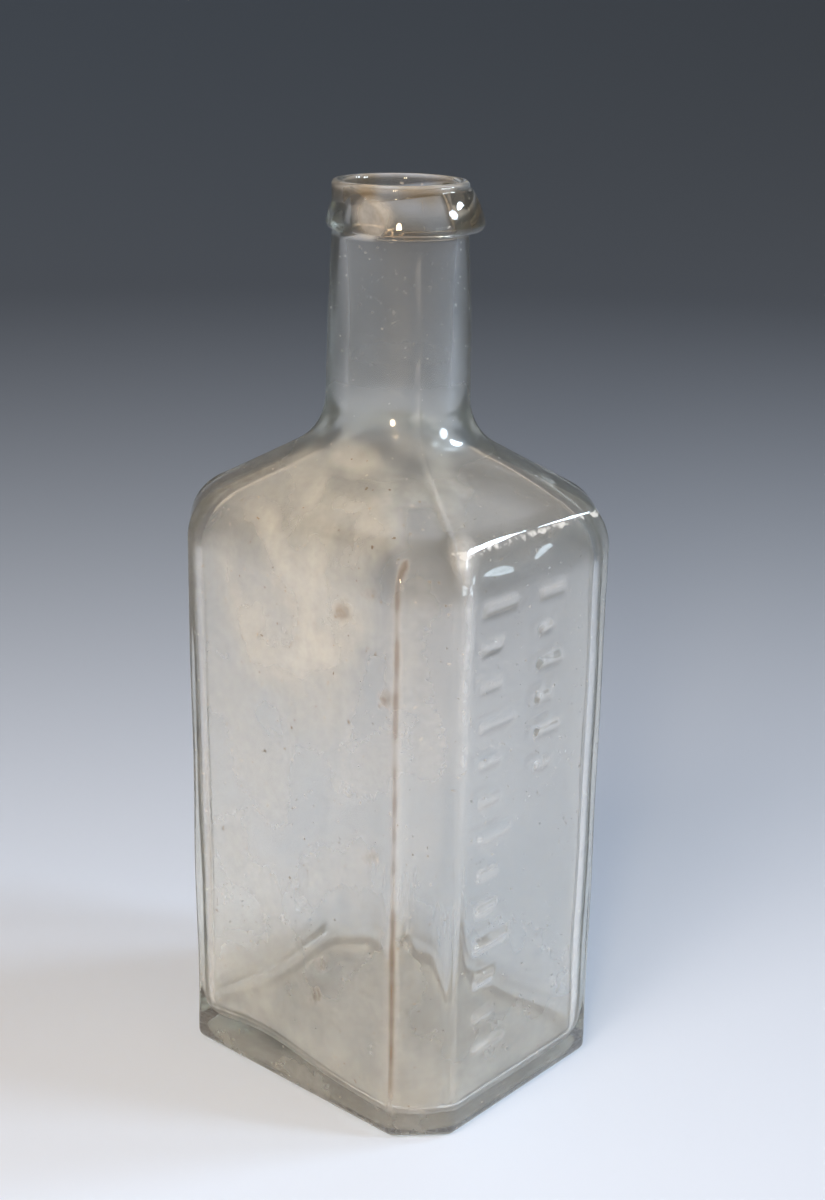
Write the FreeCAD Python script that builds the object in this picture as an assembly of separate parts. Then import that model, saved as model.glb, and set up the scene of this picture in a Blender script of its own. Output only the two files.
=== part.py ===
"""Moulded glass bottle for a toilet lotion or a medicine: a rectangular body with cut corners, a sloping
shoulder, a round neck and a short tooled collar with a flake broken out of it.

Millimetres, +Z up. The origin is the middle of the base, on the surface that the bottle stands on.
The wide faces look along -Y and +Y, the narrow ones along -X and +X.
"""
import FreeCAD, Part
import math
import os

from FreeCAD import Vector

# Overall sizes
height = 150.0               # from the surface it stands on to the top of the lip
body_width = 60.0            # across the narrow faces, along X
body_depth = 50.4            # across the wide faces, along Y

# Body section
corner_cut = 7.2             # leg of the flat that cuts each upright corner
edge_round = 1.8             # rounding between a face and a corner flat
heel_round = 1.5             # rounding round the foot

# Shoulder
shoulder_height = 98.4       # where the line of the shoulder would meet the corner of the body
shoulder_rise = 12.0         # from there up to where that line would meet the neck
shoulder_round = 9.5         # curve from the wall into the shoulder
neck_flare = 10.0            # curve from the shoulder into the neck

# Neck and collar
bore_radius = 9.1            # inside of the mouth, which takes the cork
bore_base_radius = 8.4       # inside of the neck at its foot
neck_wall = 1.5              # under the collar
neck_base_wall = 3.3
lip_wall = 1.65
lip_round = 0.75             # both edges of the fire-polished lip
collar_overhang = 1.7        # widest part of the tooled collar, out from the lip
collar_top_inset = 0.45      # its slope dies in here, inside the face of the lip
collar_drop = 1.2            # from the top of the lip down to that place
collar_length = 7.7          # from the top of the lip down to the collar's underside
collar_roll = 1.5            # rounded lower edge of the collar
collar_shift = 0.8           # the collar was tooled off centre by this much
collar_shift_angle = 41.0    # and towards this direction, in degrees from +X

# Glass
wall_at_shoulder = 1.8
wall_at_base = 2.8
shoulder_wall = 2.4          # measured upright through the sloping shoulder
base_thickness = 3.2
inner_round = 6.5            # soft inside corners of blown glass
floor_round = 3.5            # inside, between the walls and the floor

# Hollow under the base
push_up = 0.5
foot_width = 4.5             # ring that it stands on
push_up_slope = 6.0          # width of the slope from the ring up into the hollow

# Flake broken out of the collar
flake_angle = -87.0          # its middle, in degrees from +X
flake_radius = 20.0          # curve of the broken face
flake_wall = 0.8             # glass left between its deepest point and the bore
flake_height = 0.5           # of its deepest point over the collar's underside

# Radii that follow from the bore and its walls
neck_top_radius = bore_radius + neck_wall
neck_base_radius = bore_base_radius + neck_base_wall
lip_radius = bore_radius + lip_wall
collar_radius = lip_radius + collar_overhang

# A circle's share of turn on a half face, a corner and a corner flat, in degrees for one quarter
CIRCLE_TURNS = (10.0, 22.5, 25.0, 22.5, 10.0)


def quarter_steps(half_x, half_y, cut, rounding):
    """Lengths and turns of a quarter of the body's outline: half face, corner, flat, corner, half face."""
    trim = rounding * math.tan(math.radians(22.5))
    corner = (rounding * math.radians(45.0), 45.0)
    return [
        (half_y - cut - trim, 0.0),
        corner,
        (cut * math.sqrt(2.0) - 2.0 * trim, 0.0),
        corner,
        (half_x - cut - trim, 0.0),
    ]


def circle_steps(radius):
    """The same five stretches on a circle."""
    return [(radius * math.radians(turn), turn) for turn in CIRCLE_TURNS]


def blend_steps(outline, circle, share):
    """An outline between the two: every length and every turn goes over in proportion."""
    return [
        (a[0] + share * (b[0] - a[0]), a[1] + share * (b[1] - a[1]))
        for a, b in zip(outline, circle)
    ]


def walk_quarter(steps):
    """End points and middles of the stretches, walked from the +X axis round to the +Y axis."""
    ends, middles = [(0.0, 0.0)], []
    heading = math.radians(90.0)
    for length, turn in steps:
        half = math.radians(turn) / 2.0
        chord = length * (math.sin(half) / half if half > 1e-9 else 1.0)
        x, y = ends[-1]
        end = (x + chord * math.cos(heading + half), y + chord * math.sin(heading + half))
        sagitta = chord / 2.0 * math.tan(half / 2.0)
        middles.append((
            (x + end[0]) / 2.0 + sagitta * math.sin(heading + half),
            (y + end[1]) / 2.0 - sagitta * math.cos(heading + half),
        ))
        ends.append(end)
        heading += 2.0 * half
    shift = -ends[-1][0]
    return [(x + shift, y) for x, y in ends], [(x + shift, y) for x, y in middles]


def stretch(start, middle, end):
    """A straight edge, or an arc where the stretch turns."""
    bulge = (start + end) * 0.5 - middle
    if bulge.Length < 1e-6:
        return Part.LineSegment(start, end).toShape()
    return Part.Arc(start, middle, end).toShape()


def ring(steps, z):
    """Closed outline of sixteen stretches at height z, from the steps of one quarter."""
    ends, middles = walk_quarter(steps)
    quarter_ends, quarter_middles = ends[1:5], middles[1:4]
    points, bulges = [], []
    for sign_x, sign_y in ((1, 1), (-1, 1), (-1, -1), (1, -1)):
        q_ends = [Vector(sign_x * x, sign_y * y, z) for x, y in quarter_ends]
        q_middles = [Vector(sign_x * x, sign_y * y, z) for x, y in quarter_middles]
        if sign_x * sign_y < 0:
            q_ends.reverse()
            q_middles.reverse()
        face_x, face_y = ends[0][0], ends[5][1]
        after = Vector(0, sign_y * face_y, z) if sign_x * sign_y > 0 else Vector(sign_x * face_x, 0, z)
        points += q_ends
        bulges += q_middles + [after]
    count = len(points)
    return Part.Wire([stretch(points[i], bulges[i], points[(i + 1) % count]) for i in range(count)])


def arc_line_arc(rise, run, low_round, high_round):
    """Profile that leaves an upright line, slopes in by `run` over `rise` and ends upright again.

    Returns (way in, height) pairs along it, with the height counted from where the slope's line
    would leave the first upright. Both ends are rounded by arcs of the two radii.
    """
    slope = math.atan2(run, rise)
    low_trim = low_round * math.tan(slope / 2.0)
    high_trim = high_round * math.tan(slope / 2.0)
    pairs = [(0.0, -low_trim - 0.25 * low_round)]
    for part in (0.0, 0.25, 0.5, 0.75, 1.0):
        angle = slope * part
        pairs.append((low_round * (1.0 - math.cos(angle)), low_round * math.sin(angle) - low_trim))
    for part in (1.0, 0.75, 0.5, 0.25, 0.0):
        angle = slope * part
        pairs.append((
            run - high_round * (1.0 - math.cos(angle)),
            rise + high_trim - high_round * math.sin(angle),
        ))
    pairs.append((run, rise + high_trim + 0.25 * high_round))
    return pairs


def shoulder(outline, radius, z, rise, run, low_round, high_round):
    """Solid from the body's outline to a circle; also the heights where it begins and ends."""
    circle = circle_steps(radius)
    pairs = arc_line_arc(rise, run, low_round, high_round)
    wires = [ring(blend_steps(outline, circle, way / run), z + up) for way, up in pairs]
    return Part.makeLoft(wires, True, False), z + pairs[0][1], z + pairs[-1][1]


def prism(low_steps, low_z, high_steps, high_z):
    """Straight-sided solid between two outlines."""
    return Part.makeLoft([ring(low_steps, low_z), ring(high_steps, high_z)], True, True)


def edges_at(shape, z):
    """Edges that lie level at height z."""
    return [e for e in shape.Edges if abs(e.BoundBox.ZMin - z) < 1e-4 and abs(e.BoundBox.ZMax - z) < 1e-4]


def turned(points, centre=(0.0, 0.0)):
    """Solid of revolution about an upright axis from a closed outline of (radius, height) points."""
    at = Vector(centre[0], centre[1], 0)
    wire = Part.makePolygon([Vector(r, 0, z) + at for r, z in points + points[:1]])
    return Part.Face(wire).revolve(at, Vector(0, 0, 1), 360)


def cut_inside(inset):
    """Leg of the corner flat on an outline brought in by `inset`."""
    return corner_cut - inset * (2.0 - math.sqrt(2.0))


def fitting_round(inset, rounding):
    """The rounding, or less where the corner flat is too narrow for two of them."""
    return min(rounding, 0.45 * cut_inside(inset) * math.sqrt(2.0) / math.tan(math.radians(22.5)))


def body_outline(inset, rounding):
    """Outline of the body, brought in by `inset` on every face."""
    return quarter_steps(
        body_width / 2.0 - inset,
        body_depth / 2.0 - inset,
        cut_inside(inset),
        fitting_round(inset, rounding),
    )


def corner_run(inset, radius):
    """Way in from the body's corner flat to the neck, measured level."""
    across = (body_width + body_depth) / 2.0 - corner_cut
    return across / math.sqrt(2.0) - inset - radius


def outer_form():
    """Body, shoulder and neck as one solid, without the collar."""
    top = body_outline(0.0, edge_round)
    slope, begins, ends = shoulder(
        top, neck_base_radius, shoulder_height, shoulder_rise,
        corner_run(0.0, neck_base_radius), shoulder_round, neck_flare,
    )
    body = prism(top, 0.0, top, begins)
    body = body.makeFillet(min(heel_round, 0.9 * edge_round), edges_at(body, 0.0))
    neck_top = height - collar_length / 2.0
    neck = turned([(0.0, ends), (neck_base_radius, ends), (neck_top_radius, neck_top), (0.0, neck_top)])
    return body.fuse([slope, neck])


def lip():
    """Fire-polished lip about the neck's own axis."""
    foot = height - collar_length / 2.0
    solid = turned([(0.0, foot), (lip_radius, foot), (lip_radius, height), (0.0, height)])
    return solid.makeFillet(lip_round, edges_at(solid, height))


def collar():
    """Tooled collar: a short cone about its own shifted axis, with a rolled lower edge."""
    underside = height - collar_length
    angle = math.radians(collar_shift_angle)
    centre = (collar_shift * math.cos(angle), collar_shift * math.sin(angle))
    solid = turned([
        (0.0, underside),
        (collar_radius, underside),
        (collar_radius, underside + collar_roll),
        (lip_radius - collar_top_inset, height - collar_drop),
        (0.0, height - collar_drop),
    ], centre)
    level = edges_at(solid, underside)
    return solid.makeFillet(0.85 * collar_roll, level)


def flake():
    """Shell-shaped flake: a ball's face above the collar's underside."""
    underside = height - collar_length
    angle = math.radians(flake_angle)
    away = bore_radius + flake_wall + flake_radius
    centre = Vector(away * math.cos(angle), away * math.sin(angle), underside + flake_height)
    ball = Part.makeSphere(flake_radius, centre)
    reach = 2.0 * (away + flake_radius)
    above = Part.makeBox(reach, reach, reach, Vector(-reach / 2.0, -reach / 2.0, underside))
    return ball.common(above)


def cavity():
    """The space inside, open at the mouth."""
    top = body_outline(wall_at_shoulder, inner_round)
    floor = body_outline(wall_at_base, inner_round)
    slope, begins, ends = shoulder(
        top, bore_base_radius, shoulder_height - shoulder_wall, shoulder_rise,
        corner_run(wall_at_shoulder, bore_base_radius), shoulder_round, neck_flare,
    )
    room = prism(floor, base_thickness, top, begins)
    floor_curve = min(floor_round, 0.9 * fitting_round(wall_at_base, inner_round))
    room = room.makeFillet(floor_curve, edges_at(room, base_thickness))
    past_mouth = height + 1.0
    bore = turned([(0.0, ends), (bore_base_radius, ends), (bore_radius, past_mouth), (0.0, past_mouth)])
    return room.fuse([slope, bore])


def mouth_rounding():
    """What the polished mouth lacks at the inner edge of the lip: a ring with a round face."""
    outer = bore_radius + lip_round
    ring_block = turned([
        (bore_radius - 1.0, height - lip_round), (outer, height - lip_round),
        (outer, height + 1.0), (bore_radius - 1.0, height + 1.0),
    ])
    kept = Part.makeTorus(outer, lip_round, Vector(0, 0, height - lip_round))
    return ring_block.cut(kept)


def hollow():
    """Shallow hollow under the base, inside the ring that the bottle stands on."""
    low = body_outline(foot_width, inner_round)
    high = body_outline(foot_width + push_up_slope, inner_round)
    return prism(low, 0.0, high, push_up)


def bottle():
    glass = outer_form().fuse([collar(), lip()])
    glass = glass.cut([cavity(), mouth_rounding(), hollow(), flake()])
    return glass.removeSplitter()


os.makedirs("parts", exist_ok=True)
solid = bottle()
solids = solid.Solids
if len(solids) != 1 or not solids[0].isValid():
    raise RuntimeError("the bottle has to be one valid solid")
solids[0].exportStep("parts/bottle.step")
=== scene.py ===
import math

import bpy
import numpy as np
from bpy.props import FloatProperty, FloatVectorProperty, PointerProperty
from mathutils import Matrix, Vector


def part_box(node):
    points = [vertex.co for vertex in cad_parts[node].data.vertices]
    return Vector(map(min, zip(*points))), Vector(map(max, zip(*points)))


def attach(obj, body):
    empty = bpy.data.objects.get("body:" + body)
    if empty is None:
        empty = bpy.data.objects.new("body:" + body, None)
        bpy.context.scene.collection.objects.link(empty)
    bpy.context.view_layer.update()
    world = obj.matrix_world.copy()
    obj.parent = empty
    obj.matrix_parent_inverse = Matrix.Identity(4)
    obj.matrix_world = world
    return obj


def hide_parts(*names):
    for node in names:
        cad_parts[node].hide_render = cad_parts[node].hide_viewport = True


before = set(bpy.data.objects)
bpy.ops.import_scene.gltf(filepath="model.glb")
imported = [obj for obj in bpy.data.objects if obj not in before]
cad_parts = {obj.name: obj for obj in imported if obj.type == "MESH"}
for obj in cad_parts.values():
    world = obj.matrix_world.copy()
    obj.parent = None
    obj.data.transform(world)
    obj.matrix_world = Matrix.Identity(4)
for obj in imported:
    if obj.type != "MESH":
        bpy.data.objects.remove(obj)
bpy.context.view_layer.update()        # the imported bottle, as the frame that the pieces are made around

bl_info = {
    "name": "Glass lotion bottle",
    "version": (1, 0, 0),
    "blender": (4, 5, 0),
    "location": "View3D > Sidebar > Bottle",
    "description": "Makes an old clear glass lotion bottle and the plain stage it stands on",
    "category": "Add Mesh",
}

MM = 0.001
LOW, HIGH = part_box("bottle")

# The glass body, in metres
CORNER_CUT = 7.2 * MM           # leg of the flat on each upright corner
EDGE_ROUND = 1.8 * MM
HEEL_ROUND = 1.7 * MM
SHOULDER_Z = 98.4 * MM          # where the slope's line meets the corner of the body
SHOULDER_RISE = 12.0 * MM
SHOULDER_ROUND = 9.5 * MM
NECK_FLARE = 10.0 * MM
WALL_TOP = 1.8 * MM
WALL_FOOT = 2.8 * MM
SHOULDER_WALL = 2.4 * MM
BASE_THICK = 2.6 * MM
INNER_ROUND = 6.5 * MM
FLOOR_ROUND = 3.0 * MM
PUSH_UP = 0.5 * MM
FOOT_WIDTH = 4.5 * MM
PUSH_UP_SLOPE = 6.0 * MM

# Neck and collar
NECK_FOOT_RADIUS = 11.7 * MM
NECK_TOP_RADIUS = 10.6 * MM
BORE_FOOT_RADIUS = 8.4 * MM
BORE_RADIUS = 9.1 * MM
LIP_RADIUS = 10.75 * MM
LIP_ROUND = 0.75 * MM
COLLAR_RADIUS = 12.45 * MM
COLLAR_LENGTH = 7.7 * MM
COLLAR_ROLL = 1.3 * MM
COLLAR_DROP = 1.2 * MM
COLLAR_TOP_INSET = 0.45 * MM    # its slope dies in here, inside the face of the lip
COLLAR_BULGE = 0.35 * MM
COLLAR_SHIFT = 0.8 * MM
COLLAR_SHIFT_TURN = math.radians(41.0)
FLAKE_TURN = math.radians(-87.0)
FLAKE_RADIUS = 20.0 * MM
FLAKE_WALL = 0.8 * MM
FLAKE_HEIGHT = 0.5 * MM

# How a quarter circle's turn is shared by half face, edge, corner flat, edge and half face, in degrees
CIRCLE_TURNS = np.array((10.0, 22.5, 25.0, 22.5, 10.0))
EDGE_TURN = math.radians(45.0)          # from a face to the corner flat
EDGE_TRIM = math.tan(EDGE_TURN / 2.0)   # length that a rounding of radius 1 takes off each side
LARGEST_TRIM = 0.45                     # part of the corner flat that one rounding may take
# Columns of the mesh on the same stretches, on the marked side and on the plain ones
MARKED_COLUMNS = (34, 10, 12, 10, 12)
PLAIN_COLUMNS = (10, 8, 10, 8, 10)
# Rows of the mesh on each band of the outside and of the inside
OUTER_ROWS = {"under": 6, "slope": 8, "foot": 4, "heel": 8, "wall": 120, "shoulder": 14, "neck": 31,
              "collar": 43, "lip": 6}
INNER_ROWS = {"lip": 7, "neck": 22, "shoulder": 9, "wall": 21, "round": 11, "floor": 8}

# Mould seams, as turns from the wide axis and heights: the near one, and the faint one across from it
SEAMS = ((math.radians(-33.0), 0.18 * MM), (math.radians(147.0), 0.04 * MM))
SEAM_WIDTH = math.radians(1.7)
SEAM_START = 3.0 * MM                   # it grows out of the heel over this height

# Ripples of hand-blown glass: seed, pitch and share of the Waves size
OUTER_RIPPLES = ((7, 26.0 * MM, 1.0),)
INNER_RIPPLES = ((11, 30.0 * MM, 2.2), (12, 11.0 * MM, 0.25))
RIPPLE_WAVES = 14                       # sines in one ripple
RIPPLE_PITCHES = (0.7, 1.6)             # their shortest and longest, as shares of the pitch
CALM_FOOT = 12.0 * MM                   # they grow to full height over this way from the table
CALM_LIP = 8.0 * MM                     # and die down over this way below the collar's upper part
CALM_TOP = 2.0 * MM

# Settled glass: the rise near the front left foot, and the larger rounding at the far walls
SWELL_RISE = 3.2 * MM
SWELL_PLACE = (-9.0 * MM, -22.0 * MM)
SWELL_SPREAD = (15.0 * MM, 14.0 * MM)
SWELL_TOP = 24.0 * MM
SWELL_FADE = 20.0 * MM
FAR_ROUND = 3.5 * MM
FAR_TURN = math.radians(140.0)
FAR_SHARES = (0.5, 0.6)                 # even part, and the part that goes with the cosine of the turn
FAR_TOP = 30.0 * MM

# Raised marks on the narrow side, in millimetres: number of bars, left end, height of the lowest, step,
# half lengths of the long and the short ones, half thickness, every how many a long one, and its offset
MARK_SCALES = ((13, -13.5, 14.0, 6.3, 4.0, 2.4, 0.70, 3, 0), (6, 0.5, 60.0, 5.8, 3.0, 1.8, 0.65, 2, 1))
MARK_SOFT = 0.9 * MM
MARKED_FACE = (0.97, 0.02)              # part of +X in the normal from which marks begin, and fade

# Places of deposits, in millimetres: where each begins along an axis, and the way from there to full,
# which is against the axis where it is negative
NEAR_SIDE_Y = (-14.0, -8.0)
LEFT_SIDE_X = (4.0, -22.0)
RIGHT_FACE_X = (27.0, 1.5)
BELOW_NECK_Z = (112.0, -12.0)
BELOW_SHOULDER_Z = (104.0, -8.0)
SHOULDER_FOOT_Z = (94.0, 6.0)
SHOULDER_TOP_Z = (113.0, -8.0)
LOW_WALL_Z = (28.0, -22.0)
LOW_BROWN_Z = (14.0, -12.0)
FLOOR_Z = (7.0, -4.0)
BASE_Z = (7.0, -2.0)
BODY_FOOT_Z = (4.0, 6.0)
BODY_TOP_Z = (101.0, -4.0)
UPPER_BODY_Z = (45.0, 52.0)
NECK_SEAM_Z = (100.0, 6.0)
COLLAR_Z = (141.5, 2.0)
LIP_Z = (148.6, 0.8)
# Ellipsoids, also in millimetres: middle and radii, beyond which each one fades out a little further
PATCH_EDGE = 1.35                       # where its fade ends, as a squared share of the radii
THICK_FILM = ((1.0, -22.0, 91.0), (17.0, 17.0, 24.0))
SHOULDER_FILM = ((8.0, -14.0, 104.0), (18.0, 14.0, 9.0))
# Where a pale spot is painted at the top of the near flat's right edge: a painted highlight
CORNER_HIGHLIGHT_PATCH = ((28.0, -16.0, 99.0), (2.6, 3.0, 3.4))
# Where a white highlight and a warm glow are painted on the flake's face
FLAKE_FACE = ((3.4, -10.2, 145.2), (3.8, 3.0, 3.2))
# Mottling: seed, pitch and how much of it is covered
BLOTS = (21, 11.0 * MM, 0.5)
FINE_BLOTS = (22, 6.0 * MM, 0.5)
HIGHLIGHT_BAND_BLOTS = (23, 3.0 * MM, 0.6)
SEAM_HIGHLIGHT_BLOTS = (24, 5.0 * MM, 0.6)
EDGE_DIRT = (25, 7.0 * MM, 0.5)
AMBER_BLOTS = (26, 6.0 * MM, 0.35)
MOTTLE_CONTRAST = 0.45

# How thick each deposit lies, and how strong each painted highlight is, from 0 to 1; a pair is the even
# part and the mottled part
FILM_EVERYWHERE = 0.05
FILM_BODY = 0.13
FILM_LEFT_SHOULDER = 0.18
FILM_NEAR_SIDE = 0.24
FILM_THICK = (0.42, 0.70)
FILM_NEAR_SHOULDER = 0.45
FILM_LOW = 0.28
FILM_LOW_SHARES = (0.3, 0.7)
FILM_FLOOR = 0.20
FILM_BASE = 0.12
FILM_OUTSIDE = 0.35                     # share of it that lies on the outside too
# Pale band painted down the edge between the near corner flat and the marked side, where the key lamp's
# highlight falls: a painted highlight
HIGHLIGHT_BAND = (0.18, 0.32)                # low and, added to that, high on the body
HIGHLIGHT_BAND_SHARES = (0.55, 0.45)
HIGHLIGHT_BAND_Y = (-17.9, 0.9)              # its middle in millimetres, low and, added to that, high
HIGHLIGHT_BAND_WIDTH = (0.45, 1.0)
CORNER_HIGHLIGHT = 0.35
# Painted highlight: a pale line along the near mould seam on the neck
SEAM_HIGHLIGHT = 0.20
# Paler on the raised marks
MARKS_PALE = 0.12
# Painted highlight: a pale line round the top of the lip
LIP_HIGHLIGHT = 0.22
# Painted highlight on the flake's face
FLAKE_HIGHLIGHT = 0.45
LINE_X = 22.75                          # dirt along the left edge of the near corner flat, in millimetres
LINE_WIDTH = 0.5
LINE_FRONT_Y = -23.0
LINE_DIRT = (0.45, 0.45)
# Browner at the raised marks' sloping edges
MARKS_EDGE_BROWN = 1.1                        # round the raised marks
# Brown inside that grows towards the floor
LOW_BROWN = 0.30
LOW_BROWN_SHARES = (0.4, 0.6)
# Painted warm glow on the flake's face, in the amber colour
FLAKE_GLOW = 0.8

# Stains on the near wide side: way along it, height and radius in millimetres, and strength
STAINS = ((11.3, 88.0, 1.5, 0.8), (17.0, 92.0, 0.9, 0.6), (20.4, 76.0, 1.3, 0.8), (17.6, 48.6, 1.1, 0.7),
          (5.7, 19.7, 1.0, 1.0), (7.1, 26.0, 1.3, 0.6))
STAIN_SPREAD = 1.2
STAIN_TALL = 1.3                        # a stain is this much higher than wide
STAIN_FRONT = (-22.0 * MM, -18.0 * MM)  # they lie before this depth

# Glass and what covers it
GLASS_IOR = 1.5
FROST_TINT = (1.0, 0.985, 0.96, 1.0)
FROST_ROUGH = 0.30
CHALK_ROUGH = 0.9
HAZE_EVERYWHERE = 0.04
HAZE_FILM = 0.35
HAZE_SHOULDER = 0.22
HAZE_FROM = (104.0 * MM, 109.0 * MM)    # the shoulder's own haze grows here
HAZE_TO = (112.0 * MM, 150.0 * MM)      # and fades here
MOTTLE_SCALE = 520.0
GRIT_SCALE = 1100.0
GRIT_SHIFT = (0.3, 0.1, 0.2)
SPECKS = (0.745, 0.765)                 # grit above this is a speck
# Pale chips painted along the near narrow side's top edge: partly chipped glass, partly a painted
# highlight where the key lamp's thin line of light falls
CREASE_Z = 98.8 * MM                    # where the near shoulder's edge was chipped
CREASE_WIDTH = 0.55 * MM
CREASE_RAGGED = 3.0
CREASE_X = (26.2 * MM, 27.5 * MM)
CREASE_CHIPS = (0.42, 0.62)
CREASE_HIGHLIGHT_COVER = 0.9
FILM_COVER = 0.55
STAIN_COVER = 0.6
STAIN_COLOUR = 1.7                      # how fast a stain reaches the full colour of dirt
SHADOW_CLEAR = 0.30                     # part of the lamps' light that goes straight through each skin
SHADOW_TINT = (0.93, 0.94, 0.92, 1.0)
DEPTH_TINT = (0.78, 0.90, 0.66, 1.0)
DEPTH_DENSITY = 14.0

# Stage, in metres
STAGE_RADIUS = 0.85
STAGE_CURVE = 0.45
STAGE_TOP = 0.75
STAGE_COLUMNS = 160
STAGE_ROWS = (40, 24)                   # on the flat floor and on the curve
STAGE_FIRST = 0.01                      # radius of the first row round the middle
PAPER_DARK = (0.0, 0.006, 0.012)
PAPER_ROUGH = 0.9
PAPER_SHINE = 0.1
# The paper is painted with a pool of light: palest just in front of the bottle, falling off to PAPER_DARK
# with the way from there and up the wall
FADE_NEAR = 0.05                        # the palest place lies this far in front of the bottle
FADE_SIDE = 0.5                         # the paint fades slower to the sides
FADE_RISE = 2.0
FADE_REACH = 0.28
FADE_POWER = 1.7
FADE_LEAST = 0.055
# Each lamp: name, turn and rise of its direction in degrees, distance and size in metres, power as a
# share of the key light's, and colour
LAMPS = (
    ("key", 53.0, 26.5, 1.80, (0.50, 0.42), 2.65, (0.68, 0.835, 1.0)),
    ("window", 31.0, 24.6, 1.35, (0.34, 0.34), 0.70, (0.72, 0.86, 1.0)),
    ("bulb", -57.7, 16.0, 0.75, (0.10, 0.15), 0.22, (1.0, 0.78, 0.52)),
    ("warm", -80.0, 38.0, 0.90, (0.50, 0.50), 0.42, (1.0, 0.82, 0.66)),
)
SOFT_LAMP = "warm"                      # lights evenly, and isn't mirrored in the glass
WORLD_COLOUR = (1.0, 0.86, 0.74, 1.0)
WORLD_STRENGTH = 0.50

# Camera: angles in radians, focal length in millimetres of a 36 mm sensor
CAMERA_TURN = 0.718
CAMERA_PITCH = 0.320
CAMERA_ROLL = 0.017
CAMERA_LENS = 55.98
CAMERA_DISTANCE = 312.5 * MM
CAMERA_OFFSET = (3.006 * MM, 6.008 * MM)
CAMERA_CLIP = 0.01


class BottleSizes(bpy.types.PropertyGroup):
    height: FloatProperty(name="Height", description="From the table to the top of the lip",
                          default=HIGH.z - LOW.z, unit="LENGTH")
    width: FloatProperty(name="Width", description="Across the narrow sides",
                         default=HIGH.x - LOW.x, unit="LENGTH")
    depth: FloatProperty(name="Depth", description="Across the wide sides",
                         default=HIGH.y - LOW.y, unit="LENGTH")
    waves: FloatProperty(name="Waves", description="Height of the ripples that blowing left in the glass",
                         default=0.12 * MM, unit="LENGTH")
    relief: FloatProperty(name="Relief", description="Height of the raised dose marks",
                          default=0.5 * MM, unit="LENGTH")


class BottleLooks(bpy.types.PropertyGroup):
    glass: FloatVectorProperty(name="Glass", description="Cast of the glass", subtype="COLOR", size=3,
                               min=0.0, max=1.0, default=(1.0, 0.985, 0.965))
    film: FloatVectorProperty(name="Film", description="Dried lotion inside the bottle", subtype="COLOR",
                              size=3, min=0.0, max=1.0, default=(0.90, 0.885, 0.85))
    # Colour of the painted highlights on the near edge, its corner, the seam, the lip and the flake, and
    # of the paler raised marks
    highlight_and_pale_marks: FloatVectorProperty(name="Wear", description="Pale scuffs along the edges", subtype="COLOR",
                              size=3, min=0.0, max=1.0, default=(0.93, 0.95, 0.97))
    dirt: FloatVectorProperty(name="Dirt", description="Specks and stains", subtype="COLOR", size=3,
                              min=0.0, max=1.0, default=(0.20, 0.13, 0.07))
    # Amber cast of the glass in the collar, and the colour of the painted warm glow on the flake
    amber_and_glow: FloatVectorProperty(name="Amber", description="Brown cast of the glass in the collar",
                               subtype="COLOR", size=3, min=0.0, max=1.0, default=(0.80, 0.58, 0.34))


class StageLooks(bpy.types.PropertyGroup):
    # Colour at the middle of the painted pool of light round the bottle
    floor: FloatVectorProperty(name="Floor", description="Colour of the floor round the bottle",
                               subtype="COLOR", size=3, min=0.0, max=1.0, default=(0.68, 0.77, 0.92))
    key: FloatProperty(name="Key light", description="Power that every lamp takes its own share of",
                       default=12.0, unit="POWER")


# ------------------------------------------------------------------ surfaces


def column_plan():
    """Columns of a whole turn: sign of x, sign of y, stretch and part of the stretch for each.

    Odd quarters walk their five stretches backwards, so that the columns run evenly round.
    """
    plan = []
    for turn, (sign_x, sign_y) in enumerate(((1, 1), (-1, 1), (-1, -1), (1, -1))):
        counts = MARKED_COLUMNS if sign_x > 0 else PLAIN_COLUMNS
        walked = [(k, i / counts[k]) for k in range(5) for i in range(counts[k])]
        if turn % 2:
            walked = [(k, 1.0 - part) for k, part in
                      ((k, i / counts[k]) for k in range(4, -1, -1) for i in range(counts[k]))]
        plan += [(sign_x, sign_y, k, part) for k, part in walked]
    return (np.array(item) for item in zip(*plan))


SIGN_X, SIGN_Y, STRETCH, PART = column_plan()
STARTS = np.concatenate(([0.0], np.cumsum(CIRCLE_TURNS)[:-1]))
QUARTER_TURN = np.radians(STARTS[STRETCH] + PART * CIRCLE_TURNS[STRETCH])
TURN = np.arctan2(SIGN_Y * np.sin(QUARTER_TURN), SIGN_X * np.cos(QUARTER_TURN))


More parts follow.
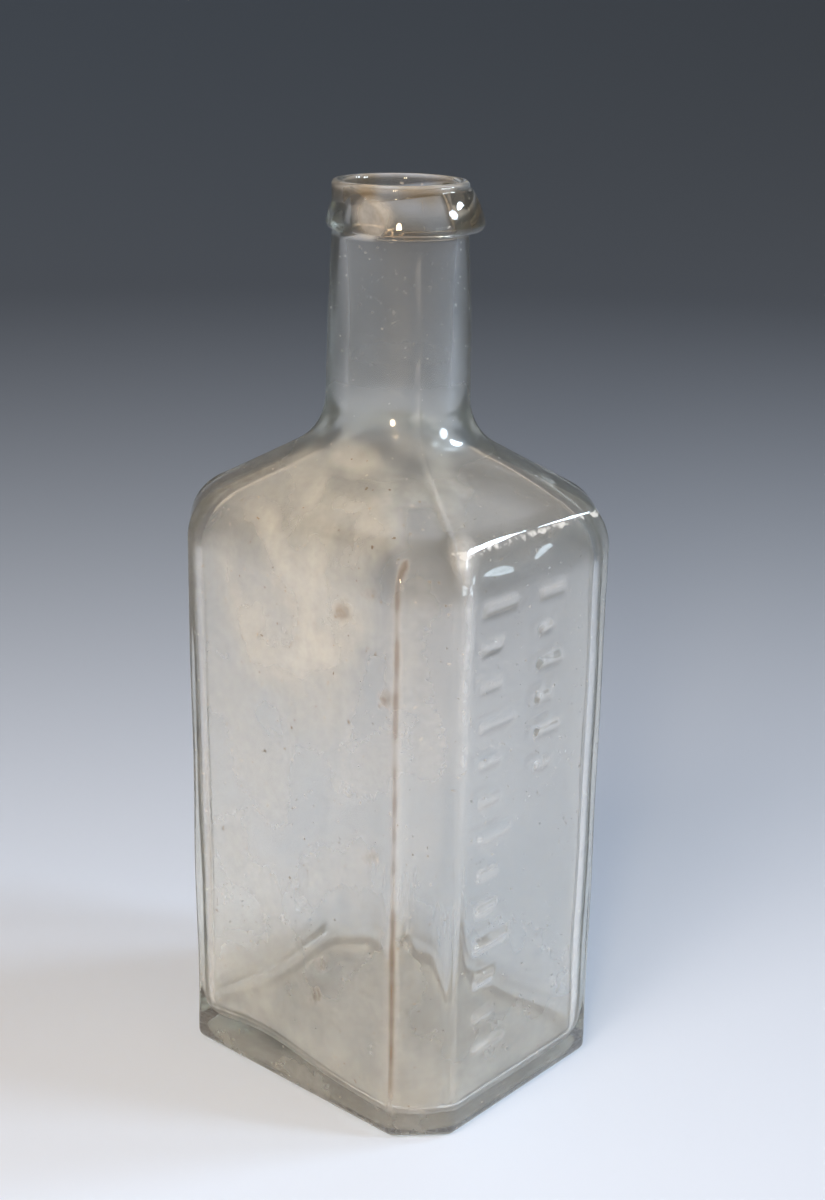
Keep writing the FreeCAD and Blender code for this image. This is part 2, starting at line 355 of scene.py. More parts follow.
def sections(half_x, half_y, cut, rounding, share, radius):
    """Level sections, one for each row: x and y of every column.

    A quarter is walked from +X round to +Y in five stretches: half face, edge, corner flat, edge, half
    face. Each has a length and a turn, and both go over in proportion, by share, from those of the
    cut-cornered rectangle to those of a circle of the radius. Along a stretch of length L and turn t
    that starts at heading h, the part p lies at L p sinc(p t / 2) in the direction h + p t / 2.
    """
    trim = rounding * EDGE_TRIM
    arc = rounding * EDGE_TURN
    flat = cut * math.sqrt(2.0) - 2.0 * trim
    lengths = np.stack((half_y - cut - trim, arc, flat, arc, half_x - cut - trim), axis=1)
    turns = np.array((0.0, EDGE_TURN, 0.0, EDGE_TURN, 0.0))[None, :]
    share, radius = share[:, None], radius[:, None]
    circle = np.radians(CIRCLE_TURNS)[None, :]
    lengths = lengths + share * (radius * circle - lengths)
    turns = turns + share * (circle - turns)
    turned = np.concatenate((0.0 * share, np.cumsum(turns, axis=1)[:, :-1]), axis=1)
    heading = math.pi / 2.0 + turned

    def reach(part, k):
        half = part * turns[:, k] / 2.0
        chord = part * lengths[:, k] * np.sinc(half / math.pi)
        return chord * np.cos(heading[:, k] + half), chord * np.sin(heading[:, k] + half)

    step_x, step_y = reach(1.0, np.arange(5))
    start_x = np.concatenate((0.0 * share, np.cumsum(step_x, axis=1)), axis=1)
    start_y = np.concatenate((0.0 * share, np.cumsum(step_y, axis=1)), axis=1)
    part_x, part_y = reach(PART[None, :], STRETCH)
    x = start_x[:, STRETCH] + part_x - start_x[:, 5:]
    y = start_y[:, STRETCH] + part_y
    return SIGN_X * x, SIGN_Y * y


def outline(inset, rounding, size):
    """Half width, half depth, corner cut and rounding of the body's outline brought in by inset."""
    cut = CORNER_CUT - inset * (2.0 - math.sqrt(2.0))
    rounding = np.minimum(rounding, LARGEST_TRIM * cut * math.sqrt(2.0) / EDGE_TRIM)
    return size.width / 2.0 - inset, size.depth / 2.0 - inset, cut, rounding


def rows(z, inset=0.0, rounding=EDGE_ROUND, share=0.0, radius=NECK_FOOT_RADIUS, scale=1.0, side=0.0,
         lift=0.0, spread=0.0):
    """A band of rows: each value is one number, or an array with one for each row.

    Lift and spread say how far a row goes up and in, by the floor's larger rounding at the far walls.
    """
    fields = dict(z=z, inset=inset, rounding=rounding, share=share, radius=radius, scale=scale, side=side,
                  lift=lift, spread=spread)
    return dict(zip(fields, np.broadcast_arrays(*(np.asarray(v, float) for v in fields.values()))))


def slope_profile(run, base_z, count):
    """Way in and height of the shoulder's profile: wall, round edge, slope, flare and neck.

    Both curves are arcs, tangent to the slope and to the uprights, and points are spread by angle on
    the arcs and evenly on the slope.
    """
    slope = math.atan2(run, SHOULDER_RISE)
    low = SHOULDER_ROUND * math.tan(slope / 2.0)
    high = NECK_FLARE * math.tan(slope / 2.0)
    angle = np.linspace(0.0, slope, count)
    way_low = SHOULDER_ROUND * (1.0 - np.cos(angle))
    z_low = SHOULDER_ROUND * np.sin(angle) - low
    angle = angle[::-1]
    way_high = run - NECK_FLARE * (1.0 - np.cos(angle))
    z_high = SHOULDER_RISE + high - NECK_FLARE * np.sin(angle)
    middle = np.linspace(0.0, 1.0, count // 2 + 2)[1:-1]
    way_mid = way_low[-1] + middle * (way_high[0] - way_low[-1])
    z_mid = z_low[-1] + middle * (z_high[0] - z_low[-1])
    way = np.concatenate((way_low, way_mid, way_high))
    return way, base_z + np.concatenate((z_low, z_mid, z_high))


def corner_run(inset, radius, size):
    """Way in from the body's corner flat to the neck."""
    return ((size.width + size.depth) / 2.0 - CORNER_CUT) / math.sqrt(2.0) - inset - radius


def ease(t):
    """Smooth step from 0 to 1."""
    t = np.clip(t, 0.0, 1.0)
    return t * t * (3.0 - 2.0 * t)


def outside_bands(size):
    """Rows of the outside, from the middle of the underside up to the top of the lip."""
    count = OUTER_ROWS
    slope_in = FOOT_WIDTH + PUSH_UP_SLOPE
    bands = [rows(PUSH_UP, slope_in, INNER_ROUND, scale=np.linspace(0.04, 0.9, count["under"]))]
    t = np.linspace(0.0, 1.0, count["slope"])
    bands.append(rows(PUSH_UP * (1.0 - ease(t)), slope_in - t * PUSH_UP_SLOPE, INNER_ROUND))
    t = np.linspace(0.25, 0.95, count["foot"])
    inset = FOOT_WIDTH + t * (HEEL_ROUND - FOOT_WIDTH)
    bands.append(rows(0.0, inset, INNER_ROUND + t * (EDGE_ROUND - INNER_ROUND)))
    angle = np.linspace(0.0, math.pi / 2.0, count["heel"])
    bands.append(rows(HEEL_ROUND * (1.0 - np.cos(angle)), HEEL_ROUND * (1.0 - np.sin(angle))))
    run = corner_run(0.0, NECK_FOOT_RADIUS, size)
    way, z = slope_profile(run, SHOULDER_Z, count["shoulder"])
    bands.append(rows(np.linspace(HEEL_ROUND, z[0], count["wall"] + 2)[1:-1]))
    bands.append(rows(z, share=way / run))
    collar_z = size.height - COLLAR_LENGTH
    hidden_z = size.height - COLLAR_LENGTH / 2.0
    neck = np.linspace(z[-1], collar_z, count["neck"] + 1)[1:]
    part = (neck - z[-1]) / (hidden_z - z[-1])
    radius = NECK_FOOT_RADIUS + np.clip(part, 0, 1) * (NECK_TOP_RADIUS - NECK_FOOT_RADIUS)
    bands.append(rows(neck, share=1.0, radius=radius))
    collar = collar_z + np.linspace(0.0, 1.0, count["collar"] + 1)[1:] * (COLLAR_LENGTH - LIP_ROUND)
    bands.append(rows(collar, share=1.0, radius=np.where(collar < hidden_z, NECK_TOP_RADIUS, LIP_RADIUS)))
    angle = np.linspace(0.0, math.pi / 2.0, count["lip"] + 1)[1:]
    bands.append(rows(size.height - LIP_ROUND * (1.0 - np.sin(angle)), share=1.0,
                      radius=LIP_RADIUS - LIP_ROUND * (1.0 - np.cos(angle))))
    return bands


def inside_bands(size):
    """Rows of the inside, from the lip down to the middle of the floor."""
    count = INNER_ROWS
    angle = np.linspace(math.pi / 2.0, 0.0, count["lip"])
    bands = [rows(size.height - LIP_ROUND * (1.0 - np.sin(angle)), share=1.0, side=1.0,
                  radius=BORE_RADIUS + LIP_ROUND * (1.0 - np.cos(angle)))]
    run = corner_run(WALL_TOP, BORE_FOOT_RADIUS, size)
    way, z = slope_profile(run, SHOULDER_Z - SHOULDER_WALL, count["shoulder"])
    way, z = way[::-1], z[::-1]
    neck = np.linspace(size.height - LIP_ROUND, z[0], count["neck"] + 2)[1:-1]
    part = (neck - z[0]) / (size.height - z[0])
    bands.append(rows(neck, share=1.0, side=1.0,
                      radius=BORE_FOOT_RADIUS + part * (BORE_RADIUS - BORE_FOOT_RADIUS)))
    bands.append(rows(z, WALL_TOP, INNER_ROUND, share=way / run, radius=BORE_FOOT_RADIUS, side=1.0))
    low = BASE_THICK + FLOOR_ROUND
    wall = np.linspace(z[-1], low, count["wall"] + 1)[1:]
    part = (wall - BASE_THICK) / (z[-1] - BASE_THICK)
    bands.append(rows(wall, WALL_FOOT + part * (WALL_TOP - WALL_FOOT), INNER_ROUND, side=1.0,
                      lift=ease((FAR_TOP - wall) / (FAR_TOP - low))))
    angle = np.linspace(0.0, math.pi / 2.0, count["round"] + 1)[1:]
    inset = WALL_FOOT + FLOOR_ROUND * (1.0 - np.cos(angle))
    bands.append(rows(low - FLOOR_ROUND * np.sin(angle), inset, INNER_ROUND, side=1.0,
                      lift=1.0 - np.sin(angle), spread=1.0 - np.cos(angle)))
    scale = np.linspace(0.92, 0.05, count["floor"])
    bands.append(rows(BASE_THICK, inset[-1], INNER_ROUND, scale=scale, side=1.0, spread=scale ** 2))
    return bands


def grid_normals(points):
    """Outward unit normals of a closed ring grid, from its neighbours along and across."""
    around = np.roll(points, -1, axis=1) - np.roll(points, 1, axis=1)
    along = np.gradient(points, axis=0)
    normal = np.cross(around, along)
    return normal / np.maximum(np.linalg.norm(normal, axis=2, keepdims=True), 1e-12)


def ripple(points, seed, pitch):
    """Smooth uneven swell: a sum of sines of random direction, phase and pitch about the given one."""
    rng = np.random.default_rng(seed)
    direction = rng.normal(size=(RIPPLE_WAVES, 3))
    direction /= np.linalg.norm(direction, axis=1, keepdims=True)
    pitches = pitch * rng.uniform(*RIPPLE_PITCHES, (RIPPLE_WAVES, 1))
    waves = direction * (2.0 * math.pi / pitches)
    phase = rng.uniform(0.0, 2.0 * math.pi, RIPPLE_WAVES)
    return np.sin(points @ waves.T + phase).mean(axis=-1) * math.sqrt(RIPPLE_WAVES)


def from_axis(centre, radius, turn, dz=0.0):
    """Distance from the axis in the direction `turn` to the far and the near side of a circle.

    The circle has its centre off the axis, and it is the section of a ball when dz isn't 0.
    """
    along = centre[0] * np.cos(turn) + centre[1] * np.sin(turn)
    left = radius ** 2 - dz ** 2 - (centre[0] ** 2 + centre[1] ** 2 - along ** 2)
    root = np.sqrt(np.maximum(left, 0.0))
    return along + root, np.where((left > 0.0) & (along > 0.0), along - root, np.inf)


def collar_radius(z, size):
    """Radius of the tooled collar about its own axis: rolled lower edge, then a cone up to the lip."""
    up = z - (size.height - COLLAR_LENGTH)
    below = COLLAR_ROLL - np.minimum(up, COLLAR_ROLL)
    roll = COLLAR_ROLL - np.sqrt(np.maximum(COLLAR_ROLL ** 2 - below ** 2, 0))
    top = COLLAR_LENGTH - COLLAR_DROP
    cone = np.clip((up - COLLAR_ROLL) / (top - COLLAR_ROLL), 0.0, 1.0)
    inner = LIP_RADIUS - COLLAR_TOP_INSET
    bulge = COLLAR_BULGE * np.sin(math.pi * cone)
    return np.where(up < top, COLLAR_RADIUS - roll - cone * (COLLAR_RADIUS - inner) + bulge, 0.0)


def shape_collar(points, z, size):
    """Swells the rows over the collar's underside out to the off-centre collar, then cuts the flake.

    The radius is the larger of the neck's and the collar's, and nowhere more than where the flake's
    ball begins.
    """
    turn = np.arctan2(points[..., 1], points[..., 0])
    radius = np.hypot(points[..., 0], points[..., 1])
    centre = (COLLAR_SHIFT * math.cos(COLLAR_SHIFT_TURN), COLLAR_SHIFT * math.sin(COLLAR_SHIFT_TURN))
    level = z[:, None] + 0.0 * turn
    out, _ = from_axis(centre, collar_radius(level, size), turn)
    wanted = np.maximum(radius, out)
    away = BORE_RADIUS + FLAKE_WALL + FLAKE_RADIUS
    ball = (away * math.cos(FLAKE_TURN), away * math.sin(FLAKE_TURN))
    dz = level - (size.height - COLLAR_LENGTH + FLAKE_HEIGHT)
    _, near = from_axis(ball, FLAKE_RADIUS, turn, dz)
    wanted = np.minimum(wanted, near)
    here = level > size.height - COLLAR_LENGTH + 1e-6
    factor = np.where(here, wanted / np.maximum(radius, 1e-9), 1.0)
    points[..., 0] *= factor
    points[..., 1] *= factor


def bar(u, v, centre, half_u, half_v, soft):
    """1 inside a bar with its middle at centre, and 0 outside, with an edge of the given softness."""
    du = np.abs(u - centre[0]) - half_u
    dv = np.abs(v - centre[1]) - half_v
    gap = np.hypot(np.maximum(du, 0.0), np.maximum(dv, 0.0)) + np.minimum(np.maximum(du, dv), 0.0)
    return ease(0.5 - gap / soft)


def dose_marks(y, z):
    """Raised marks on the narrow side: a long scale of bars, and a short one beside it."""
    total = np.zeros_like(y)
    for number, left, lowest, step, long, short, thick, every, offset in MARK_SCALES:
        for i in range(number):
            half = (short if (i + offset) % every else long) * MM
            place = (left * MM + half, (lowest + step * i) * MM)
            total = np.maximum(total, bar(y, z, place, half, thick * MM, MARK_SOFT))
    return total


def floor_swell(points):
    """Rise of the floor where the glass settled thick: a bell about a place near the front left foot."""
    across, ahead = ((points[..., i] - SWELL_PLACE[i]) / SWELL_SPREAD[i] for i in range(2))
    bell = np.exp(-across ** 2 - ahead ** 2)
    return SWELL_RISE * bell * ease((SWELL_TOP - points[..., 2]) / SWELL_FADE)


def round_far_floor(points, row):
    """Makes the floor's rounding larger at the far walls, by an amount that fades round the turn."""
    more = FAR_ROUND * ease(blend(FAR_SHARES, np.cos(TURN - FAR_TURN)))
    away = np.maximum(np.hypot(points[..., 0], points[..., 1]), 1e-9)
    inward = -points[..., :2] / away[..., None]
    points[..., :2] += inward * (more * row["spread"][:, None])[..., None]
    points[..., 2] += more * row["lift"][:, None]


def patch(points, centre, radii):
    """1 in the middle of an ellipsoid, and falling smoothly to 0 just outside it.

    The points are in metres, and the ellipsoid's middle and radii are in millimetres.
    """
    off = (points / MM - np.array(centre)) / np.array(radii)
    return ease(PATCH_EDGE - (off ** 2).sum(axis=-1))


def mottle(points, seed, pitch, cover):
    """Uneven cover between 0 and 1 with blots about as wide as the pitch."""
    return ease(cover + MOTTLE_CONTRAST * ripple(points, seed, pitch))


def fade(values, start, way):
    """Smooth step from 0 at the start to 1 at the end of the way, which may be negative."""
    return ease((values - start) / way)


def blend(pair, part):
    """Even share of a pair plus its second share times the part."""
    return pair[0] + pair[1] * part


def dried_film(points, x, y, z, inside):
    """Dried lotion: thick behind the near wide side, and on the shoulder and the floor."""
    blot = mottle(points, *BLOTS)
    fine = mottle(points, *FINE_BLOTS)
    near_side = fade(y, *NEAR_SIDE_Y) * fade(z, *BELOW_SHOULDER_Z)
    left_shoulder = fade(z, *SHOULDER_FOOT_Z) * fade(z, *SHOULDER_TOP_Z) * fade(x, *LEFT_SIDE_X)
    film = FILM_EVERYWHERE + FILM_BODY * fade(z, *BELOW_NECK_Z)
    film += FILM_LEFT_SHOULDER * left_shoulder
    film += FILM_NEAR_SIDE * near_side * blot
    film += patch(points, *THICK_FILM) * blend(FILM_THICK, fine * blot)
    film += FILM_NEAR_SHOULDER * patch(points, *SHOULDER_FILM) * fine
    film += FILM_LOW * fade(z, *LOW_WALL_Z) * blend(FILM_LOW_SHARES, fine)
    film += FILM_FLOOR * fade(z, *FLOOR_Z) * inside
    film *= np.where(inside, 1.0, FILM_OUTSIDE)
    return film + FILM_BASE * fade(z, *BASE_Z)


def painted_highlights_and_pale_marks(points, x, y, z, marks, seam, flake):
    """Pale painted highlights on the outside: a band down the near edge, a spot at its top corner, and
    lines on the seam, the lip and the flake; and paler raised marks.
    """
    upper = fade(z, *UPPER_BODY_Z)
    # Painted highlight: a pale band down the near flat's right edge
    off = (y - blend(HIGHLIGHT_BAND_Y, upper)) / blend(HIGHLIGHT_BAND_WIDTH, upper)
    band = np.exp(-off ** 2) * fade(x, *RIGHT_FACE_X) * on_body(z) * blend(HIGHLIGHT_BAND, upper)
    highlight_and_pale_marks = band * blend(HIGHLIGHT_BAND_SHARES, mottle(points, *HIGHLIGHT_BAND_BLOTS))
    # Painted highlight: a pale spot at the top corner of that edge
    highlight_and_pale_marks += CORNER_HIGHLIGHT * patch(points, *CORNER_HIGHLIGHT_PATCH) * mottle(points, *FINE_BLOTS)
    # Painted highlight along the near mould seam, on the neck only
    highlight_and_pale_marks += SEAM_HIGHLIGHT * seam * fade(z, *NECK_SEAM_Z) * mottle(points, *SEAM_HIGHLIGHT_BLOTS)
    # Painted highlights along the lip and on the flake, and paler raised marks
    return highlight_and_pale_marks + MARKS_PALE * marks + LIP_HIGHLIGHT * fade(z, *LIP_Z) + FLAKE_HIGHLIGHT * flake


def brown_layer(points, x, y, z, marks, inside):
    """Dirt along the near corner's left edge, browner at the raised marks' edges, and browner inside
    towards the floor.
    """
    line = np.exp(-((x - LINE_X) / LINE_WIDTH) ** 2) * (y < LINE_FRONT_Y) * on_body(z)
    dirt = line * blend(LINE_DIRT, mottle(points, *EDGE_DIRT)) + MARKS_EDGE_BROWN * marks * (1.0 - marks)
    low_brown = LOW_BROWN * fade(z, *LOW_BROWN_Z) * blend(LOW_BROWN_SHARES, mottle(points, *BLOTS))
    return np.where(inside, low_brown, dirt)


def on_body(z):
    """1 on the upright walls of the body, and 0 at its foot and above its shoulder's edge."""
    return fade(z, *BODY_FOOT_Z) * fade(z, *BODY_TOP_Z)


def deposits(points, inside, marks, seam):
    """What lies on or in the glass at each point, from 0 to 1: film; painted highlights and paler marks;
    stain and other brown; and the amber cast with the flake's painted glow.
    """
    x, y, z = (points[..., i] / MM for i in range(3))
    # The flake's face gets a painted highlight and a painted warm glow
    flake = patch(points, *FLAKE_FACE) * ~inside
    layers = {
        "film": dried_film(points, x, y, z, inside),
        "highlight_and_pale_marks": painted_highlights_and_pale_marks(points, x, y, z, marks, seam, flake) * ~inside,
        "stain": brown_layer(points, x, y, z, marks, inside),
        "amber_and_glow": fade(z, *COLLAR_Z) * mottle(points, *AMBER_BLOTS) + FLAKE_GLOW * flake,
    }
    return {name: np.clip(values, 0, 1) for name, values in layers.items()}


def mould_seams(z, size):
    """Height of the mould's seams at each point, which end below the tooled collar."""
    seam = np.zeros_like(z)
    for turn, rise in SEAMS:
        off = np.angle(np.exp(1j * (TURN - turn)))
        seam = np.maximum(seam, rise * np.exp(-(off / SEAM_WIDTH) ** 2))
    return seam * ease(z / SEAM_START) * (z < size.height - COLLAR_LENGTH)


def ripples(points, kinds, calm, size):
    """Sum of ripples of several kinds, in metres, less where the glass is calm."""
    return sum(ripple(points, seed, pitch) * share for seed, pitch, share in kinds) * size.waves * calm


def bottle_grid(size):
    """All rows of the bottle as one grid, and what lies on each of its points."""
    bands = outside_bands(size) + inside_bands(size)
    row = {name: np.concatenate([b[name] for b in bands]) for name in bands[0]}
    half_x, half_y, cut, rounding = outline(row["inset"], row["rounding"], size)
    x, y = sections(half_x, half_y, cut, rounding, row["share"], row["radius"])
    points = np.stack((x * row["scale"][:, None], y * row["scale"][:, None],
                       row["z"][:, None] + 0.0 * x), axis=2)
    outside = row["side"] < 0.5
    lip = outside & (row["z"] < size.height - LIP_ROUND + 1e-6)
    part = points[lip]
    shape_collar(part, row["z"][lip], size)
    points[lip] = part
    round_far_floor(points, row)

    normal = grid_normals(points)
    z = points[..., 2]
    calm = ease(z / CALM_FOOT) * ease((size.height - CALM_TOP - z) / CALM_LIP)
    outer = ripples(points, OUTER_RIPPLES, calm, size)
    inner = ripples(points, INNER_RIPPLES, calm, size)
    points[..., 2] += np.where(outside[:, None], 0.0, floor_swell(points))
    seam = mould_seams(z, size)
    marks = dose_marks(points[..., 1], z) * fade(normal[..., 0], *MARKED_FACE)
    inside = ~outside[:, None] & np.ones_like(TURN, bool)
    layers = deposits(points, inside, marks, seam / SEAMS[0][1])
    push = np.where(inside, inner, outer + seam + marks * size.relief)
    points += normal * push[..., None]
    return points, layers


def mesh_from_grid(name, points, layers, closed=True):
    """Mesh from a ring grid: quads between rows, and a fan to a middle point at the first end.

    A closed one has a fan at the last end too. Each layer is a number at every point.
    """
    count, around = points.shape[:2]
    ends = np.stack((points[0].mean(axis=0), points[-1].mean(axis=0)))
    vertices = np.concatenate((points.reshape(-1, 3), ends))
    column = np.arange(around)
    after = (column + 1) % around
    low = (np.arange(count - 1) * around)[:, None]
    high = low + around
    quads = np.stack((low + column, low + after, high + after, high + column), axis=2)
    first, last = count * around, count * around + 1
    top = (count - 1) * around
    fans = np.stack((after, column, np.full(around, first)), axis=1)
    if closed:
        end = np.stack((top + column, top + after, np.full(around, last)), axis=1)
        fans = np.concatenate((fans, end))
    loops = np.concatenate((quads.reshape(-1), fans.reshape(-1)))
    sizes = np.concatenate((np.full(quads.size // 4, 4), np.full(len(fans), 3)))
    mesh = bpy.data.meshes.new(name)
    mesh.vertices.add(len(vertices))
    mesh.vertices.foreach_set("co", vertices.astype(np.float32).ravel())
    mesh.loops.add(len(loops))
    mesh.loops.foreach_set("vertex_index", loops.astype(np.int32))
    mesh.polygons.add(len(sizes))
    starts = np.concatenate(([0], np.cumsum(sizes)[:-1]))
    mesh.polygons.foreach_set("loop_start", starts.astype(np.int32))
    mesh.polygons.foreach_set("use_smooth", np.ones(len(sizes), bool))
    mesh.update(calc_edges=True)
    mesh.validate()
    for layer, values in layers.items():
        values = np.concatenate((values.ravel(), (values[0].mean(), values[-1].mean())))
        attribute = mesh.attributes.new(layer, "FLOAT", "POINT")
        attribute.data.foreach_set("value", values.astype(np.float32))
    return mesh


def stage_grid():
    """Rows of the stage: a flat floor that curves up all round into an upright wall."""
    wall = STAGE_RADIUS + STAGE_CURVE
    flat = np.geomspace(STAGE_FIRST, STAGE_RADIUS, STAGE_ROWS[0])
    angle = np.linspace(0.0, math.pi / 2.0, STAGE_ROWS[1])[1:]
    radius = np.concatenate((flat, STAGE_RADIUS + STAGE_CURVE * np.sin(angle), [wall]))
    height = np.concatenate((0.0 * flat, STAGE_CURVE * (1.0 - np.cos(angle)), [STAGE_TOP]))
    turn = np.linspace(0.0, 2.0 * math.pi, STAGE_COLUMNS, endpoint=False)
    return np.stack((radius[:, None] * np.cos(turn), radius[:, None] * np.sin(turn),
                     height[:, None] + 0.0 * turn), axis=2)


# ------------------------------------------------------------------ materials


class Value:
    """A shader socket in a sum: each operator adds its Math node."""

    def __init__(self, nodes, socket):
        self.nodes, self.socket = nodes, socket

    def math(self, operation, *values, clamp=False):
        node = self.nodes.add("ShaderNodeMath", {"operation": operation, "use_clamp": clamp},
                              {i: v for i, v in enumerate(values)})
        return Value(self.nodes, node.outputs[0])

    def __add__(self, other):
        return self.math("ADD", self, other)

    def __sub__(self, other):
        return self.math("SUBTRACT", self, other)

    def __rsub__(self, other):
        return self.math("SUBTRACT", other, self)

    def __mul__(self, other):
        return self.math("MULTIPLY", self, other)

    def __truediv__(self, other):
        return self.math("DIVIDE", self, other)

    def __rtruediv__(self, other):
        return self.math("DIVIDE", other, self)

    def __pow__(self, other):
        return self.math("POWER", self, other)

    __radd__, __rmul__ = __add__, __mul__

    def clamp(self):
        return self.math("ADD", self, 0.0, clamp=True)

    def smooth(self, low, high):
        """Smooth step from 0 at low to 1 at high."""
        node = self.nodes.add("ShaderNodeMapRange", {"interpolation_type": "SMOOTHSTEP"},
                              {"Value": self, "From Min": low, "From Max": high})
        return Value(self.nodes, node.outputs["Result"])


class Nodes:
    """Node tree of one material."""

    def __init__(self, name):
        self.material = bpy.data.materials.new(name)
        self.material.use_nodes = True
        self.tree = self.material.node_tree
        self.tree.nodes.clear()

    def add(self, kind, settings=None, inputs=None):
        """Adds a node: its settings first, then the values or links of its sockets."""
        node = self.tree.nodes.new(kind)
        for name, value in (settings or {}).items():
            setattr(node, name, value)
        for name, value in (inputs or {}).items():
            socket = node.inputs[name]
            if isinstance(value, Value):
                self.tree.links.new(value.socket, socket)
            elif isinstance(value, bpy.types.NodeSocket):
                self.tree.links.new(value, socket)
            else:
                socket.default_value = value
        return node

    def value(self, kind, settings, inputs, output):
        return Value(self, self.add(kind, settings, inputs).outputs[output])

    def place(self):
        """Object coordinates."""
        return self.add("ShaderNodeTexCoord").outputs["Object"]

    def split(self, vector):
        node = self.add("ShaderNodeSeparateXYZ", None, {0: vector})
        return [Value(self, node.outputs[i]) for i in range(3)]

    def shifted(self, vector, location):
        node = self.add("ShaderNodeMapping", {"vector_type": "POINT"},
                        {"Vector": vector, "Location": location})
        return node.outputs["Vector"]

    def noise(self, vector, scale, detail, rough):
        return self.value("ShaderNodeTexNoise", {"noise_dimensions": "3D"},
                          {"Vector": vector, "Scale": scale, "Detail": detail, "Roughness": rough}, "Fac")

    def layer(self, name):
        """Number that the mesh holds at each point."""
        return self.value("ShaderNodeAttribute", {"attribute_name": name}, {}, "Fac")

    def mix_colour(self, factor, first, second):
        node = self.add("ShaderNodeMix", {"data_type": "RGBA"}, {0: factor, 6: first, 7: second})
        return node.outputs[2]

    def mix_shader(self, factor, first, second):
        return self.add("ShaderNodeMixShader", None,
                        {"Fac": factor, 1: first.outputs[0], 2: second.outputs[0]})

    def finish(self, shader, volume=None):
        sockets = {"Surface": shader.outputs[0]}
        if volume:
            sockets["Volume"] = volume.outputs[0]
        self.add("ShaderNodeOutputMaterial", None, sockets)
        return self.material


def stained(x, y, z, mottle, stain):
    """Stain plus ragged oval spots of it on the near wide side."""
    ragged = (mottle - 0.5) * 2.0
    front = 1.0 - y.smooth(*STAIN_FRONT)
    for along, height, radius, strength in STAINS:
        wide = STAIN_SPREAD * radius * MM
        across = (x - along * MM) / wide + ragged
        up = (z - height * MM) / (STAIN_TALL * wide) + ragged
        spot = (1.0 - across * across - up * up).clamp() * front
        stain = stain + spot * (strength * (0.1 + mottle))
    return stain


def crease_chips_and_highlight(x, z, mottle):
    """How much pale chips cover the near narrow side's edge at the shoulder, and 0 elsewhere: partly
    chipped glass, partly a painted highlight.
    """
    off = (z - CREASE_Z) / CREASE_WIDTH + (mottle - 0.5) * CREASE_RAGGED
    return (1.0 - off * off).clamp() * x.smooth(*CREASE_X) * (0.1 + mottle.smooth(*CREASE_CHIPS) * 1.2)


def glass_material(looks):
    """Clear glass with a cast, a dried film that clouds it, specks and stains of dirt, and pale painted
    highlights with a painted glow on the flake.
    """
    n = Nodes("old_glass")
    place = n.place()
    x, y, z = n.split(place)
    film, highlight_and_pale_marks, stain, amber_and_glow = (n.layer(name) for name in ("film", "highlight_and_pale_marks", "stain", "amber_and_glow"))

    mottle = n.noise(place, MOTTLE_SCALE, 2.0, 0.65)
    grit = n.noise(n.shifted(place, GRIT_SHIFT), GRIT_SCALE, 1.0, 0.5)
    speck = grit.smooth(*SPECKS) * (0.2 + film * 2.0)
    stain = stained(x, y, z, mottle, stain)
    # Partly chipped glass, partly a painted highlight along the crease
    chips_and_highlight = crease_chips_and_highlight(x, z, mottle) * CREASE_HIGHLIGHT_COVER
    # Film, painted highlights, paler marks and the crease's chips and painted highlight make the glass
    # chalky
    chalky = (film * (0.35 + mottle * 0.9) + highlight_and_pale_marks * (0.5 + mottle) + chips_and_highlight).clamp()
    shoulder = z.smooth(*HAZE_FROM) * (1.0 - z.smooth(*HAZE_TO))
    haze = (HAZE_EVERYWHERE + film * HAZE_FILM + shoulder * HAZE_SHOULDER).clamp()

    # The glass's cast goes to amber in the collar, and to the painted warm glow on the flake
    tint = n.mix_colour(amber_and_glow, (*looks.glass, 1.0), (*looks.amber_and_glow, 1.0))
    clear = n.add("ShaderNodeBsdfPrincipled", None, {
        "Base Color": tint, "Roughness": 0.0, "IOR": GLASS_IOR, "Transmission Weight": 1.0})
    frosted = n.add("ShaderNodeBsdfPrincipled", None, {
        "Base Color": FROST_TINT, "Roughness": FROST_ROUGH, "IOR": GLASS_IOR, "Transmission Weight": 1.0})
    # From the film's colour to that of the painted highlights and paler marks
    pale = n.mix_colour(highlight_and_pale_marks.clamp(), (*looks.film, 1.0), (*looks.highlight_and_pale_marks, 1.0))
    brown = n.mix_colour((stain * STAIN_COLOUR + speck).clamp(), pale, (*looks.dirt, 1.0))
    chalk = n.add("ShaderNodeBsdfPrincipled", None, {"Base Color": brown, "Roughness": CHALK_ROUGH})
    body = n.mix_shader(haze, clear, frosted)
    body = n.mix_shader((chalky * FILM_COVER + stain * STAIN_COVER + speck).clamp(), body, chalk)
    shadow_ray = Value(n, n.add("ShaderNodeLightPath").outputs["Is Shadow Ray"])
    through = n.add("ShaderNodeBsdfTransparent", None, {"Color": SHADOW_TINT})
    body = n.mix_shader(shadow_ray * SHADOW_CLEAR, body, through)
    depth = n.add("ShaderNodeVolumeAbsorption", None, {"Color": DEPTH_TINT, "Density": DEPTH_DENSITY})
    return n.finish(body, depth)


